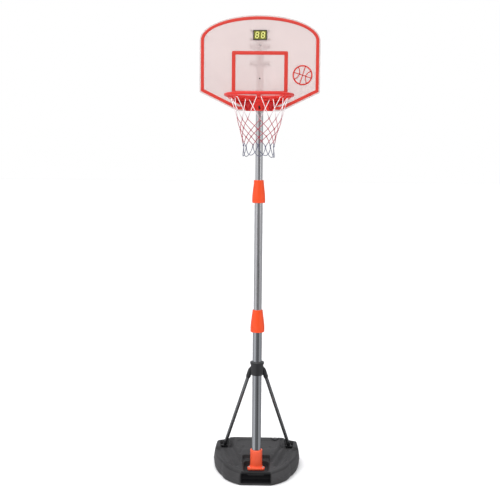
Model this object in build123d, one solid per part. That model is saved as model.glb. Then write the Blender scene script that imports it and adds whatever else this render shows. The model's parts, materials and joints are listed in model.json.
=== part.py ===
from build123d import *
import os
from math import atan2, cos, radians, sin, tan

# A child's portable basketball hoop. Millimetres, +Z up, the player stands on the -Y side.
# The origin is on the floor, on the axis of the telescopic pole.

# Pole: three telescoping steel tubes
tube_wall = 1.2
lower_tube_radius = 16.8
middle_tube_radius = 14.6
upper_tube_radius = 12.9
lower_tube_length = 553
middle_tube_rise = 462        # top of the middle tube above the top of the lower one
upper_tube_rise = 498         # top of the upper tube above the top of the middle one
middle_tube_overlap = 150     # length of the middle tube still inside the lower one
upper_tube_overlap = 170
plug_height = 8
plug_spigot = 20
plug_clearance = 0.1          # radial, sliding in the next tube
cap_height = 4

# Twist locks on the tube tops
lock_below = 52               # sleeve below the tube's top
lock_above = 28
lock_band = 20                # straight band at the sleeve's foot
lower_lock_foot_grip = 8.3    # sleeve's foot, outside the tube that it is fixed on
lower_lock_top_grip = 2.4     # sleeve's top, outside the sliding tube
upper_lock_foot_grip = 8.6
upper_lock_top_grip = 3.1
collet_wall = 1.5
collet_nose = 6.5             # collet above the tube's top
lock_clearance = 0.3
slide_clearance = 0.15        # collet's nose on the sliding tube

# Base: blow-moulded ballast tank
tank_front_y = -92
tank_back_y = 222
tank_front_half = 56
tank_back_half = 102
tank_half_width = 162
tank_bend_x = 126             # half-width where the front curve eases into the side
tank_front_height = 49
tank_back_height = 75
tank_wall = 3
skirt_height = 40
shoulder_inset = 4
recess_half_width = 46
recess_front_y = -80
recess_back_y = 34
recess_floor = 33
filler_x = 70
filler_y = 201
filler_radius = 10
cap_radius = 12.5
cap_skirt = 6
cap_wall = 1.4
cap_thickness = 3
cap_clearance = 0.3

# Pole socket on the tank
socket_radius = 22
socket_height = 70
socket_floor = 4
socket_clearance = 0.2
tab_half_width = 31
tab_front_y = -28             # the tab in front of the barrel, with one screw on each side
tab_back_y = -4
tab_height = 8
tab_corner = 5
socket_screw_x = 25
socket_screw_y = -18
socket_screw_radius = 2
socket_screw_depth = 14
screw_clearance = 0.1
boss_radius = 6

# Struts from the collar to the tank's ears
collar_bottom = 380
collar_height = 56
collar_radius = 23
collar_lip_radius = 25.3
collar_lip_height = 9
arm_radius = 7.8
arm_length = 38
strut_radius = 6.6
strut_wall = 1
strut_seat = 14               # strut's start, along the arm
strut_top_x = 23
strut_top_y = 10
strut_top_z = 398
strut_foot_x = 124
strut_foot_y = 172
strut_foot_z = 57
foot_eye_radius = 8
foot_eye_width = 12
foot_gap = 16                 # from the pin to the strut's end
foot_stem = 20
pin_radius = 3
pin_clearance = 0.1
pin_half_length = 17
ear_fill = 6                  # solid plastic beside each slot, round the pin's ends
slot_half_width = 13
slot_front_y = 138
slot_back_y = 186
ear_back_y = 202              # outline's corner behind each ear
slot_floor = 38

# Backboard
board_half_width = 206
board_drop = 232              # from the upper tube's top to the board's bottom edge
board_bottom_half = 77
board_corner_rise = 63
board_side_rise = 237
board_arch = 85
board_back_y = -43
board_thickness = 5
lip_width = 3
lip_depth = 7

# Rim, its bracket and the ball sensor
rim_rise = 47                 # ring's centre above the board's bottom edge
ring_radius = 110.8           # centre line
ring_section = 6
ring_facets = 24
hook_count = 7
hook_radius = 1.8
hook_length = 7
shelf_half_width = 98
shelf_thickness = 6
shelf_drop = 6.5              # shelf's underside below the ring's centre
plate_thickness = 6
plate_half_width = 46
wing_half_width = 94
wing_height = 7
plate_side_rise = 14          # upright part of the skirt's sides
rim_screw_x = 36
rim_screw_radius = 2
rim_screw_head = 4
sensor_half_width = 12
sensor_depth = 8
sensor_height = 26
sensor_slot_half = 3
lever_half_width = 2.2
lever_thickness = 4
lever_reach = 24
lever_rise = 13               # above the board's bottom edge
lever_pin_radius = 1.5
lever_back_gap = 2

# Net, as the space that its cords fill
net_top_gap = 15              # below the ring's centre
net_ring_clearance = 7.8      # net's top inside the ring's centre line
net_neck_radius = 52
net_neck_drop = 147
net_length = 190
net_wall = 1.6
net_gap_half = 8              # opening for the sensor lever

# Clamps that hold the board on the upper tube
clamp_heights = (72, 14)      # below the upper tube's top
clamp_half_height = 9
clamp_plate_half = 35
clamp_plate_thickness = 5
clamp_block_half = 23
clamp_gap = 0.3
strap_depth = 16
strap_screw_x = 18
strap_screw_radius = 2
strap_screw_reach = 24
plate_screw_x = 30
plate_screw_bite = 3.5

# Scoreboard behind the panel
case_half_width = 26
case_half_height = 18
case_depth = 28
case_wall = 2
case_rise = 255.5             # case's centre above the board's bottom edge
display_half_width = 22.3
display_half_height = 15.5
display_proud = 0.8
window_thickness = 1.5
window_clearance = 0.3
circuit_y = 7                 # circuit board's front behind the panel's back
circuit_thickness = 1.6
cell_radius = 5.25
cell_length = 44.5
cell_pitch = 11.5
cell_low = -8                 # lower cell, from the case's centre
cell_y = 20.5
door_half_width = 22
door_bottom = -14.5
door_top = 9
door_clearance = 0.3
switch_rise = 13
switch_half = 3
switch_travel = 4
switch_proud = 2.5
button_radius = 4
button_proud = 3
button_flange = 1.5
button_y = 16                 # behind the panel's back
buzzer_radius = 6
buzzer_thickness = 4
case_screw_z = 14
case_ear = 8

# Places worked out from the sizes above
tube_foot_z = recess_floor + socket_floor
lower_tube_top = tube_foot_z + lower_tube_length
middle_tube_top = lower_tube_top + middle_tube_rise
upper_tube_top = middle_tube_top + upper_tube_rise
board_bottom = upper_tube_top - board_drop
board_front_y = board_back_y - board_thickness
rim_z = board_bottom + rim_rise
rim_y = board_front_y - ring_radius - ring_section
case_z = board_bottom + case_rise
tall = 400                    # cuts that only have to be tall or deep enough
grow = Align.MIN


def block(x_low, x_high, y_low, y_high, z_low, z_high):
    """A box between three pairs of limits."""
    centre = ((x_low + x_high) / 2, (y_low + y_high) / 2, (z_low + z_high) / 2)
    return Pos(*centre) * Box(x_high - x_low, y_high - y_low, z_high - z_low)


def bar(start, end, radius):
    """A round bar from one point to another."""
    along = Vector(*end) - Vector(*start)
    plane = Plane(origin=start, z_dir=along)
    return plane * Cylinder(radius, along.length, align=(Align.CENTER, Align.CENTER, grow))


def turned(points):
    """A solid of revolution about Z from its outline in radius and height."""
    return revolve(Plane.XZ * make_face(Polyline(*points, close=True)), Axis.Z)


def upright(face, y_front, y_back):
    """A face drawn in X and Z, made thick between two depths."""
    return extrude(Plane.XZ.offset(-y_back) * face, y_back - y_front)


def tube(radius, bottom, top):
    return turned([(radius - tube_wall, bottom), (radius, bottom), (radius, top), (radius - tube_wall, top)])


def save(name, *solids):
    shape = solids[0] if len(solids) == 1 else Compound(list(solids))
    export_step(shape, f"parts/{name}.step")


# ---- base ----

def tank_form(inset):
    """The tank's outside, or its inside when inset by the wall."""
    half = [
        Line((0, tank_front_y), (tank_front_half, tank_front_y)),
        ThreePointArc((tank_front_half, tank_front_y), (tank_bend_x - 22, tank_front_y + 41),
                      (tank_bend_x, tank_front_y + 88)),
        ThreePointArc((tank_bend_x, tank_front_y + 88), (0.6 * tank_half_width + 0.4 * tank_bend_x + 4,
                      tank_front_y + 150), (tank_half_width, tank_front_y + 225)),
        Line((tank_half_width, tank_front_y + 225), (tank_half_width - 2, ear_back_y - 9)),
        Line((tank_half_width - 2, ear_back_y - 9), (strut_foot_x + 16, ear_back_y)),
        Line((strut_foot_x + 16, ear_back_y), (tank_back_half, tank_back_y)),
        Line((tank_back_half, tank_back_y), (0, tank_back_y)),
    ]
    halves = Curve() + half + [mirror(edge, Plane.YZ) for edge in half]
    outline = offset(make_face(halves), -inset) if inset else make_face(halves)
    shoulder = offset(make_face(halves), -inset - shoulder_inset)
    form = extrude(outline, skirt_height - inset) + extrude(shoulder, tank_back_height + 10)
    length = tank_back_y - tank_front_y
    slope = Plane(origin=(0, tank_front_y, tank_front_height - inset),
                  z_dir=(0, tank_front_height - tank_back_height, length))
    form -= extrude(slope * Rectangle(tall * 3, tall * 3), tall)
    return form - extrude(Rectangle(tall * 3, tall * 3), inset) if inset else form


def tank_pockets(grown):
    """The pole recess and the two strut slots, grown by the wall for the tank's inside."""
    cuts = block(-recess_half_width - grown, recess_half_width + grown, recess_front_y - grown,
                 recess_back_y + grown, recess_floor - grown, tall)
    for side in (-1, 1):
        slot_x = side * (strut_foot_x - 1)
        half = slot_half_width + grown + (ear_fill if grown else 0)
        cuts += block(slot_x - half, slot_x + half,
                      slot_front_y - grown, slot_back_y + grown, slot_floor - grown, tall)
    return cuts


def socket_screw_places():
    return [(x, socket_screw_y) for x in (-socket_screw_x, socket_screw_x)]


def base_tank():
    outside = tank_form(0) - tank_pockets(0)
    inside = tank_form(tank_wall) - tank_pockets(tank_wall)
    for x, y in socket_screw_places():
        inside -= Pos(x, y, 0) * Cylinder(boss_radius, tall)
    tank = outside - inside
    tank -= Pos(filler_x, filler_y, tank_front_height) * Cylinder(filler_radius, tall / 2, align=(
        Align.CENTER, Align.CENTER, grow))
    for side in (-1, 1):
        tank -= Pos(side * (strut_foot_x - 1), strut_foot_y, strut_foot_z) * Rot(0, 90, 0) * Cylinder(
            pin_radius + pin_clearance, 2 * pin_half_length + 1)
    for x, y in socket_screw_places():
        tank -= bar((x, y, recess_floor - socket_screw_depth), (x, y, recess_floor + 1),
                    socket_screw_radius + screw_clearance)
    return tank


def filler_cap():
    """A hollow plug in the filler hole with a round head on the tank's sloping top."""
    rise = (tank_back_height - tank_front_height) / (tank_back_y - tank_front_y)
    seat = tank_front_height + rise * (filler_y + cap_radius - tank_front_y)
    head = Pos(filler_x, filler_y, seat + cap_thickness / 2) * Cylinder(cap_radius, cap_thickness)
    foot, neck = (filler_x, filler_y, seat - cap_skirt), (filler_x, filler_y, seat)
    outer = filler_radius - cap_clearance
    return fillet(head.edges().group_by(Axis.Z)[-1], cap_thickness / 3) + (
        bar(foot, neck, outer) - bar(foot, neck, outer - cap_wall))


def pole_socket():
    depth = tab_back_y - tab_front_y
    tab = extrude(RectangleRounded(2 * tab_half_width, depth, tab_corner), tab_height)
    barrel = Cylinder(socket_radius, socket_height, align=(Align.CENTER, Align.CENTER, grow))
    socket = Pos(0, 0, recess_floor) * (barrel + Pos(0, (tab_front_y + tab_back_y) / 2, 0) * tab)
    socket -= bar((0, 0, tube_foot_z), (0, 0, tall), lower_tube_radius + socket_clearance)
    for x, y in socket_screw_places():
        socket -= bar((x, y, 0), (x, y, tall), socket_screw_radius + screw_clearance)
    return socket


def socket_screws():
    top = recess_floor + tab_height
    for x, y in socket_screw_places():
        shank = bar((x, y, recess_floor - socket_screw_depth + 1), (x, y, top), socket_screw_radius)
        yield shank + bar((x, y, top), (x, y, top + 2.2), 2 * socket_screw_radius)


# ---- struts ----

def strut_point(side, distance):
    """A point on a strut's centre line, measured down from its start in the collar."""
    start = Vector(side * strut_top_x, strut_top_y, strut_top_z)
    foot = Vector(side * strut_foot_x, strut_foot_y, strut_foot_z)
    return start + (foot - start).normalized() * distance


def strut_length():
    ends = Vector(strut_foot_x - strut_top_x, strut_foot_y - strut_top_y, strut_foot_z - strut_top_z)
    return ends.length


def strut_collar():
    body = turned([(0, collar_bottom), (collar_radius - 1.5, collar_bottom),
                   (collar_radius, collar_bottom + collar_height - collar_lip_height),
                   (collar_lip_radius, collar_bottom + collar_height - collar_lip_height),
                   (collar_lip_radius, collar_bottom + collar_height), (0, collar_bottom + collar_height)])
    for side in (-1, 1):
        body += bar(strut_point(side, -6), strut_point(side, arm_length), arm_radius)
    for side in (-1, 1):
        body -= bar(strut_point(side, strut_seat), strut_point(side, arm_length + 5), strut_radius)
    body -= bar((0, 0, 0), (0, 0, 2 * tall), lower_tube_radius)
    screw_z = collar_bottom + collar_height / 2
    body -= bar((0, 0, screw_z), (0, tall, screw_z), socket_screw_radius + screw_clearance)
    return body


def lower_tube():
    shaft = tube(lower_tube_radius, tube_foot_z, lower_tube_top)
    screw_z = collar_bottom + collar_height / 2
    return shaft - bar((0, 0, screw_z), (0, tall, screw_z), socket_screw_radius + screw_clearance)


def collar_screw():
    """A short screw from behind that ends inside the lower tube's wall."""
    screw_z = collar_bottom + collar_height / 2
    tip = lower_tube_radius - tube_wall + 0.4
    shank = bar((0, tip, screw_z), (0, collar_radius, screw_z), socket_screw_radius)
    return shank + bar((0, collar_radius, screw_z), (0, collar_radius + 2.5, screw_z), 2 * socket_screw_radius)


def strut(side):
    start = strut_point(side, strut_seat)
    end = strut_point(side, strut_length() - foot_gap)
    return bar(start, end, strut_radius) - bar(start, end, strut_radius - strut_wall)


def strut_foot(side):
    """A plastic end that plugs into the strut and turns on the pin."""
    pin = strut_point(side, strut_length())
    end = strut_point(side, strut_length() - foot_gap)
    eye = Pos(*pin) * Rot(0, 90, 0) * Cylinder(foot_eye_radius, foot_eye_width)
    foot = eye + bar(end, pin, strut_radius)
    foot += bar(strut_point(side, strut_length() - foot_gap - foot_stem), end, strut_radius - strut_wall)
    return foot - Pos(*pin) * Rot(0, 90, 0) * Cylinder(pin_radius + pin_clearance, 3 * foot_eye_width)


def strut_pins():
    for side in (-1, 1):
        inner = side * (strut_foot_x - 1 - pin_half_length)
        outer = side * (strut_foot_x - 1 + pin_half_length)
        yield bar((inner, strut_foot_y, strut_foot_z), (outer, strut_foot_y, strut_foot_z), pin_radius)


# ---- twist locks ----

def lock_collet(big, small, top):
    """A ring fixed on a tube's top, with a nose that guides the sliding tube."""
    wide = big + collet_wall
    nose = small + slide_clearance
    return turned([(big, top - lock_below + 4), (wide, top - lock_below + 4), (wide, top + 1),
                   (nose + 1.2, top + collet_nose), (nose, top + collet_nose), (nose, top), (big, top)])


def lock_sleeve(big, small, top, foot_grip, top_grip):
    """The tapered grip that is twisted to free or lock the sliding tube."""
    foot_radius = big + foot_grip
    top_radius = small + top_grip
    wide = big + collet_wall + lock_clearance
    mouth = small + slide_clearance + lock_clearance
    low = top - lock_below
    return turned([(wide, low), (foot_radius - 1, low), (foot_radius, low + 1), (foot_radius, low + lock_band),
                   (top_radius, top + lock_above - 1), (top_radius - 0.6, top + lock_above),
                   (mouth, top + lock_above), (mouth, top + collet_nose + 3.5), (wide, top + 1.4)])


def end_plug(sliding_radius, guide_radius, bottom):
    """A plug in a tube's lower end, whose skirt runs in the tube outside it."""
    skirt = guide_radius - tube_wall - plug_clearance
    spigot = sliding_radius - tube_wall
    return turned([(0, bottom - plug_height), (skirt - 1, bottom - plug_height), (skirt, bottom - plug_height + 1),
                   (skirt, bottom), (spigot, bottom), (spigot, bottom + plug_spigot), (0, bottom + plug_spigot)])


def top_cap():
    radius = upper_tube_radius
    return turned([(0, upper_tube_top - 12), (radius - tube_wall, upper_tube_top - 12),
                   (radius - tube_wall, upper_tube_top), (radius, upper_tube_top),
                   (radius - 1, upper_tube_top + cap_height), (0, upper_tube_top + cap_height)])


# ---- board ----

def board_face(inset):
    """The panel's outline, or one set in by a width: flat foot, sloping corners, arched top."""
    slope = atan2(board_corner_rise, board_half_width - board_bottom_half)
    foot = (board_bottom_half - inset * tan(slope / 2), board_bottom + inset)
    width = board_half_width - inset
    corner = (width, board_bottom + board_corner_rise + inset * tan(radians(45) - slope / 2))
    side_z = board_bottom + board_side_rise
    outline = Curve() + [
        Line((-foot[0], foot[1]), foot),
        Line(foot, corner),
        Line(corner, (width, side_z)),
        EllipticalCenterArc((0, side_z), width, board_arch - inset, 0, arc_size=180),
        Line((-width, side_z), (-width, corner[1])),
        Line((-width, corner[1]), (-foot[0], foot[1])),
    ]
    return make_face(outline)


def clamp_zs():
    return [upper_tube_top - drop for drop in clamp_heights]


def rim_screw_places():
    low = board_bottom + 10
    return [(x, z) for x in (-rim_screw_x, rim_screw_x) for z in (low, low + 22)]


def case_screw_places():
    x = case_half_width + case_ear / 2
    return [(side * x, case_z + rise) for side in (-1, 1) for rise in (-case_screw_z, case_screw_z)]


def plate_screw_places():
    return [(side * plate_screw_x, z) for side in (-1, 1) for z in clamp_zs()]


def backboard():
    board = upright(board_face(0), board_front_y, board_back_y + lip_depth)
    board -= upright(board_face(lip_width), board_back_y, board_back_y + lip_depth + 1)
    wide = display_half_width + window_clearance
    high = display_half_height + window_clearance
    board -= block(-wide, wide, board_front_y - 1, board_back_y + 1, case_z - high, case_z + high)
    for x, z in rim_screw_places():
        board -= bar((x, board_front_y - 1, z), (x, board_back_y + 1, z), rim_screw_radius + screw_clearance)
    for x, z in case_screw_places() + plate_screw_places():
        board -= bar((x, board_back_y - plate_screw_bite, z), (x, board_back_y + 1, z),
                     strap_screw_radius + screw_clearance)
    return board


def pole_saddle(z):
    """Board side of a clamp: a plate on the panel and a block hollowed for the tube."""
    low, high = z - clamp_half_height, z + clamp_half_height
    saddle = block(-clamp_plate_half, clamp_plate_half, board_back_y, board_back_y + clamp_plate_thickness, low, high)
    saddle += block(-clamp_block_half, clamp_block_half, board_back_y, -clamp_gap, low, high)
    saddle -= bar((0, 0, low - 1), (0, 0, high + 1), upper_tube_radius)
    for side in (-1, 1):
        saddle -= bar((side * strap_screw_x, -strap_screw_reach, z), (side * strap_screw_x, 1, z),
                      strap_screw_radius + screw_clearance)
        saddle -= bar((side * plate_screw_x, board_back_y - 1, z), (side * plate_screw_x, 0, z),
                      strap_screw_radius + screw_clearance)
    return saddle


def pole_strap(z):
    low, high = z - clamp_half_height, z + clamp_half_height
    strap = block(-clamp_block_half, clamp_block_half, clamp_gap, strap_depth, low, high)
    strap = chamfer(strap.edges().filter_by(Axis.Z).group_by(Axis.Y)[-1], 4)
    strap -= bar((0, 0, low - 1), (0, 0, high + 1), upper_tube_radius)
    for side in (-1, 1):
        strap -= bar((side * strap_screw_x, 0, z), (side * strap_screw_x, tall, z),
                     strap_screw_radius + screw_clearance)
    return strap


def strap_screws():
    for z in clamp_zs():
        for side in (-1, 1):
            x = side * strap_screw_x
            shank = bar((x, 1 - strap_screw_reach, z), (x, strap_depth, z), strap_screw_radius)
            yield shank + bar((x, strap_depth, z), (x, strap_depth + 2.5, z), 2 * strap_screw_radius)


def plate_screws():
    for x, z in plate_screw_places():
        head = board_back_y + clamp_plate_thickness
        shank = bar((x, board_back_y - plate_screw_bite + 0.5, z), (x, head, z), strap_screw_radius)
        yield shank + bar((x, head, z), (x, head + 2, z), 2 * strap_screw_radius)


# ---- rim ----

def hook_places():
    """Hooks evenly round the ring, the first one in the middle of its front."""
    for step in range(hook_count):
        turn = radians(step * 360 / hook_count - 90)
        yield ring_radius * cos(turn), rim_y + ring_radius * sin(turn)


def rim():
    """The ring with its hooks, and the shelf that joins it to the board."""
    low = rim_z - shelf_drop
    shelf = block(-shelf_half_width, shelf_half_width, rim_y + 40, board_front_y, low, low + shelf_thickness)
    shelf -= bar((0, rim_y, low - 1), (0, rim_y, rim_z + 1), ring_radius)
    section = Plane.XZ * Pos(ring_radius, rim_z) * RegularPolygon(ring_section, ring_facets)
    ring = Pos(0, rim_y, 0) * revolve(section, Axis.Z)
    hooks = [bar((x, y, low - hook_length), (x, y, rim_z - ring_section / 2), hook_radius) for x, y in hook_places()]
    return ring + hooks + shelf


def rim_bracket():
    """The skirt under the rim, screwed through the panel, with a hollow for the sensor."""
    top = rim_z - shelf_drop
    right = [(plate_half_width, board_bottom), (plate_half_width + 8, board_bottom + plate_side_rise),
             (wing_half_width, top - wing_height), (wing_half_width, top)]
    left = [(-x, z) for x, z in reversed(right)]
    face = make_face(Polyline(*right, *left, close=True))
    bracket = upright(face, board_front_y - plate_thickness, board_front_y)
    low = board_bottom
    bracket -= block(-sensor_half_width, sensor_half_width, board_front_y - tall, board_front_y + 1, low - 1,
                     low + sensor_height)
    for x, z in rim_screw_places():
        bracket -= bar((x, board_front_y - plate_thickness + 1.5, z), (x, board_front_y + 1, z),
                       rim_screw_radius + screw_clearance)
    return bracket


def rim_screws():
    for x, z in rim_screw_places():
        shank = bar((x, board_front_y - plate_thickness + 2, z), (x, board_back_y, z), rim_screw_radius)
        yield shank + bar((x, board_back_y, z), (x, board_back_y + 2.2, z), rim_screw_head)


def sensor_housing():
    low = board_bottom
    front = board_front_y - plate_thickness - sensor_depth
    half = sensor_half_width - 0.2
    housing = block(-half, half, front, board_front_y, low + 0.2, low + sensor_height - 0.2)
    lever_z = low + lever_rise
    housing -= block(-sensor_slot_half, sensor_slot_half, front - 1, board_front_y - lever_back_gap,
                     lever_z - 8, lever_z + 5)
    return housing - bar((-half + 3, lever_y(), lever_z), (half - 3, lever_y(), lever_z),
                         lever_pin_radius + pin_clearance)


def lever_y():
    return board_front_y - plate_thickness


def sensor_lever():
    """The sprung trigger that the ball pushes down, on its own short pin."""
    z = board_bottom + lever_rise
    tip = lever_y() - lever_reach
    lever = block(-lever_half_width, lever_half_width, tip, lever_y(), z - lever_thickness / 2, z + lever_thickness / 2)
    lever = fillet(lever.edges().filter_by(Axis.X).group_by(Axis.Y)[0], 1.5)
    lever += bar((-lever_half_width, lever_y(), z), (lever_half_width, lever_y(), z), lever_thickness / 2)
    half = sensor_half_width - 4
    return lever + bar((-half, lever_y(), z), (half, lever_y(), z), lever_pin_radius)


def net():
    """A thin funnel for the knotted cords, open above and below."""
    top = rim_z - net_top_gap
    neck = top - net_neck_drop
    foot = top - net_length
    outer = [(ring_radius - net_ring_clearance, top), (net_neck_radius, neck), (net_neck_radius, foot)]
    inner = [(radius - net_wall, z) for radius, z in reversed(outer)]
    funnel = Pos(0, rim_y, 0) * turned(outer + inner)
    z = board_bottom + lever_rise
    return funnel - block(-net_gap_half, net_gap_half, rim_y, board_front_y, z - 22, z + 10)


# ---- scoreboard ----

def score_case():
    """The housing behind the panel: open in front, with a battery opening behind."""
    back = board_back_y + case_depth
    low, high = case_z - case_half_height, case_z + case_half_height
    case = block(-case_half_width, case_half_width, board_back_y, back, low, high)
    case = fillet(case.edges().filter_by(Axis.Y), 3)
    case -= block(case_wall - case_half_width, case_half_width - case_wall, board_back_y - 1, back - case_wall,
                  low + case_wall, high - case_wall)
    for x, z in case_screw_places():
        ear = block(x - case_ear / 2 - 1, x + case_ear / 2 + 1, board_back_y, board_back_y + 2.5, z - 4, z + 4)
        case += ear - block(case_wall - case_half_width, case_half_width - case_wall, board_back_y, back, low, high)
        case -= bar((x, board_back_y - 1, z), (x, board_back_y + 3, z), strap_screw_radius + screw_clearance)
    wide = door_half_width + door_clearance
    case -= block(-wide, wide, back - case_wall - 1, back + 1, case_z + door_bottom - door_clearance,
                  case_z + door_top + door_clearance)
    case -= block(-switch_half - 0.3, switch_half + switch_travel + 0.3, back - case_wall - 1, back + 1,
                  case_z + switch_rise - 1.8, case_z + switch_rise + 1.8)
    y = board_back_y + button_y
    return case - bar((0, y, high - 4), (0, y, high + 1), button_radius + 0.3)


def case_screws():
    for x, z in case_screw_places():
        shank = bar((x, board_back_y - plate_screw_bite + 0.5, z), (x, board_back_y + 2.5, z), strap_screw_radius)
        yield shank + bar((x, board_back_y + 2.5, z), (x, board_back_y + 4.3, z), 1.6 * strap_screw_radius)


def display_window():
    wide, high = display_half_width, display_half_height
    front = board_front_y - display_proud
    return block(-wide, wide, front, front + window_thickness, case_z - high, case_z + high)


def display_module():
    wide, high = display_half_width - 1, display_half_height - 1
    front = board_front_y - display_proud + window_thickness
    return block(-wide, wide, front, board_back_y + circuit_y, case_z - high, case_z + high)


def circuit_board():
    wide, high = case_half_width - case_wall - 0.5, case_half_height - case_wall - 0.5
    front = board_back_y + circuit_y
    return block(-wide, wide, front, front + circuit_thickness, case_z - high, case_z + high)


def buzzer():
    start = board_back_y + circuit_y + circuit_thickness
    return bar((14, start, case_z + 8.5), (14, start + buzzer_thickness, case_z + 8.5), buzzer_radius)


def cell_places():
    return [case_z + cell_low, case_z + cell_low + cell_pitch]


def batteries():
    y = board_back_y + cell_y
    for z in cell_places():
        yield bar((-cell_length / 2, y, z), (cell_length / 2 - 1, y, z), cell_radius)


def battery_contacts():
    y = board_back_y + cell_y
    for z in cell_places():
        yield block(-case_half_width + case_wall, -cell_length / 2, y - 4, y + 4, z - 4, z + 4)
        yield block(cell_length / 2 - 1, case_half_width - case_wall, y - 2, y + 2, z - 2, z + 2)


def battery_door():
    back = board_back_y + case_depth
    door = block(-door_half_width, door_half_width, back - case_wall, back, case_z + door_bottom, case_z + door_top)
    for step in range(5):
        z = case_z + door_bottom + 6 + 2 * step
        door += block(-5, 5, back, back + 0.6, z - 0.5, z + 0.5)
    return door


def power_switch():
    back = board_back_y + case_depth
    z = case_z + switch_rise
    knob = block(-switch_half, switch_half, back - case_wall, back + switch_proud, z - 1.5, z + 1.5)
    return knob + block(-switch_half - 1, switch_half + 1, back - case_wall - 1.2, back - case_wall - 0.2,
                        z - 2.4, z + 2.4) + block(-1, 1, back - case_wall - 0.3, back - case_wall + 0.1, z - 1, z + 1)


def reset_button():
    high = case_z + case_half_height
    y = board_back_y + button_y
    button = bar((0, y, high - case_wall - 0.2), (0, y, high + button_proud), button_radius)
    button = fillet(button.edges().group_by(Axis.Z)[-1], 1)
    return button + bar((0, y, high - case_wall - 0.1 - button_flange), (0, y, high - case_wall - 0.1),
                        button_radius + 1.2)


os.makedirs("parts", exist_ok=True)
middle_foot = lower_tube_top - middle_tube_overlap
upper_foot = middle_tube_top - upper_tube_overlap

save("base_tank", base_tank())
save("filler_cap", filler_cap())
save("pole_socket", pole_socket())
save("socket_screws", *socket_screws())
save("lower_tube", lower_tube())
save("strut_collar", strut_collar())
save("collar_screw", collar_screw())
for name, side in (("left", -1), ("right", 1)):
    save(f"strut_{name}", strut(side))
    save(f"strut_foot_{name}", strut_foot(side))
save("strut_pins", *strut_pins())

save("lower_collet", lock_collet(lower_tube_radius, middle_tube_radius, lower_tube_top))
save("lower_sleeve", lock_sleeve(lower_tube_radius, middle_tube_radius, lower_tube_top,
                                 lower_lock_foot_grip, lower_lock_top_grip))
save("middle_tube", tube(middle_tube_radius, middle_foot, middle_tube_top))
save("middle_plug", end_plug(middle_tube_radius, lower_tube_radius, middle_foot))
save("upper_collet", lock_collet(middle_tube_radius, upper_tube_radius, middle_tube_top))
save("upper_sleeve", lock_sleeve(middle_tube_radius, upper_tube_radius, middle_tube_top,
                                 upper_lock_foot_grip, upper_lock_top_grip))
save("upper_tube", tube(upper_tube_radius, upper_foot, upper_tube_top))
save("upper_plug", end_plug(upper_tube_radius, middle_tube_radius, upper_foot))
save("top_cap", top_cap())

save("backboard", backboard())
save("pole_saddles", *[pole_saddle(z) for z in clamp_zs()])
save("pole_straps", *[pole_strap(z) for z in clamp_zs()])
save("strap_screws", *strap_screws())
save("plate_screws", *plate_screws())
save("rim", rim())
save("rim_bracket", rim_bracket())
save("rim_screws", *rim_screws())
save("sensor_housing", sensor_housing())
save("sensor_lever", sensor_lever())
save("net", net())

save("score_case", score_case())
save("case_screws", *case_screws())
save("display_window", display_window())
save("display_module", display_module())
save("circuit_board", circuit_board())
save("buzzer", buzzer())
save("batteries", *batteries())
save("battery_contacts", *battery_contacts())
save("battery_door", battery_door())
save("power_switch", power_switch())
save("reset_button", reset_button())
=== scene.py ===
import bmesh
import bpy
import json
import math
import numpy as np
from mathutils import Euler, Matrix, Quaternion, Vector

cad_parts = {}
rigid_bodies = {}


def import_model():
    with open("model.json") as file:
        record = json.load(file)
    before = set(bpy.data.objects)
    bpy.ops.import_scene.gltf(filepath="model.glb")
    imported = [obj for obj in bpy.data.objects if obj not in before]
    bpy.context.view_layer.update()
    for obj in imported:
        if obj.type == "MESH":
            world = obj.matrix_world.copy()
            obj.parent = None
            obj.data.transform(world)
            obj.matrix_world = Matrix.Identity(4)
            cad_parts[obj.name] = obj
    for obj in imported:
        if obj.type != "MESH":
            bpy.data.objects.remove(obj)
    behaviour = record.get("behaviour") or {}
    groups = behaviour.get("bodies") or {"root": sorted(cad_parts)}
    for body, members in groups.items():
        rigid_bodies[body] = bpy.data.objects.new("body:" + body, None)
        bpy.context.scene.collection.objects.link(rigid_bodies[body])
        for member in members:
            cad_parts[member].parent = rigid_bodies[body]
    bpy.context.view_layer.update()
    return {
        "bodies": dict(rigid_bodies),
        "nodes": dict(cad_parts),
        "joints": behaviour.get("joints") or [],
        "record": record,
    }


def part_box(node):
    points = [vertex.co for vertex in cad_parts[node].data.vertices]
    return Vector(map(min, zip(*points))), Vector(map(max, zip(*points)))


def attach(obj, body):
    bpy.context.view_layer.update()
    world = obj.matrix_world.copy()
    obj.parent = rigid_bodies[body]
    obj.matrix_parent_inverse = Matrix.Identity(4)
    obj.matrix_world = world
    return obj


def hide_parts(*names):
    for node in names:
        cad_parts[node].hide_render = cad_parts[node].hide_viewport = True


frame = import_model()
nodes = frame["nodes"]


# the low and the high corner of a CAD piece's box, in metres
def boxCorners(nodeName):
    return [np.array(corner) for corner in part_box(nodeName)]


# places that several pieces share
boardLow, boardHigh = boxCorners("backboard")
rimLow, rimHigh = boxCorners("rim")
tankLow, tankHigh = boxCorners("base_tank")
windowLow, windowHigh = boxCorners("display_window")
socketLow, socketHigh = boxCorners("pole_socket")
collarTop = boxCorners("strut_collar")[1][2]
boardFront = boardLow[1]
boardFoot = boardLow[2]
ringWire = 0.006
ringRadius = (rimHigh[0] - rimLow[0]) / 2 - ringWire
rimCentre = np.array([0, rimLow[1] + ringWire + ringRadius, rimHigh[2] - ringWire])

# the stand is looked at from the player's side, a little left of straight ahead
studio = {
    "distance": 3.1, "height": 1.18, "side": 0.035, "pitch": 6.40, "yaw": 1.185, "roll": 0.5, "lens": 63.3,
    "floorHalf": 30.0, "floorColour": (0.92, 0.92, 0.92), "wallStrength": 0.95, "mirrorStrength": 0.8,
    "sunPower": 2.5, "sunSpread": 70,
}


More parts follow.
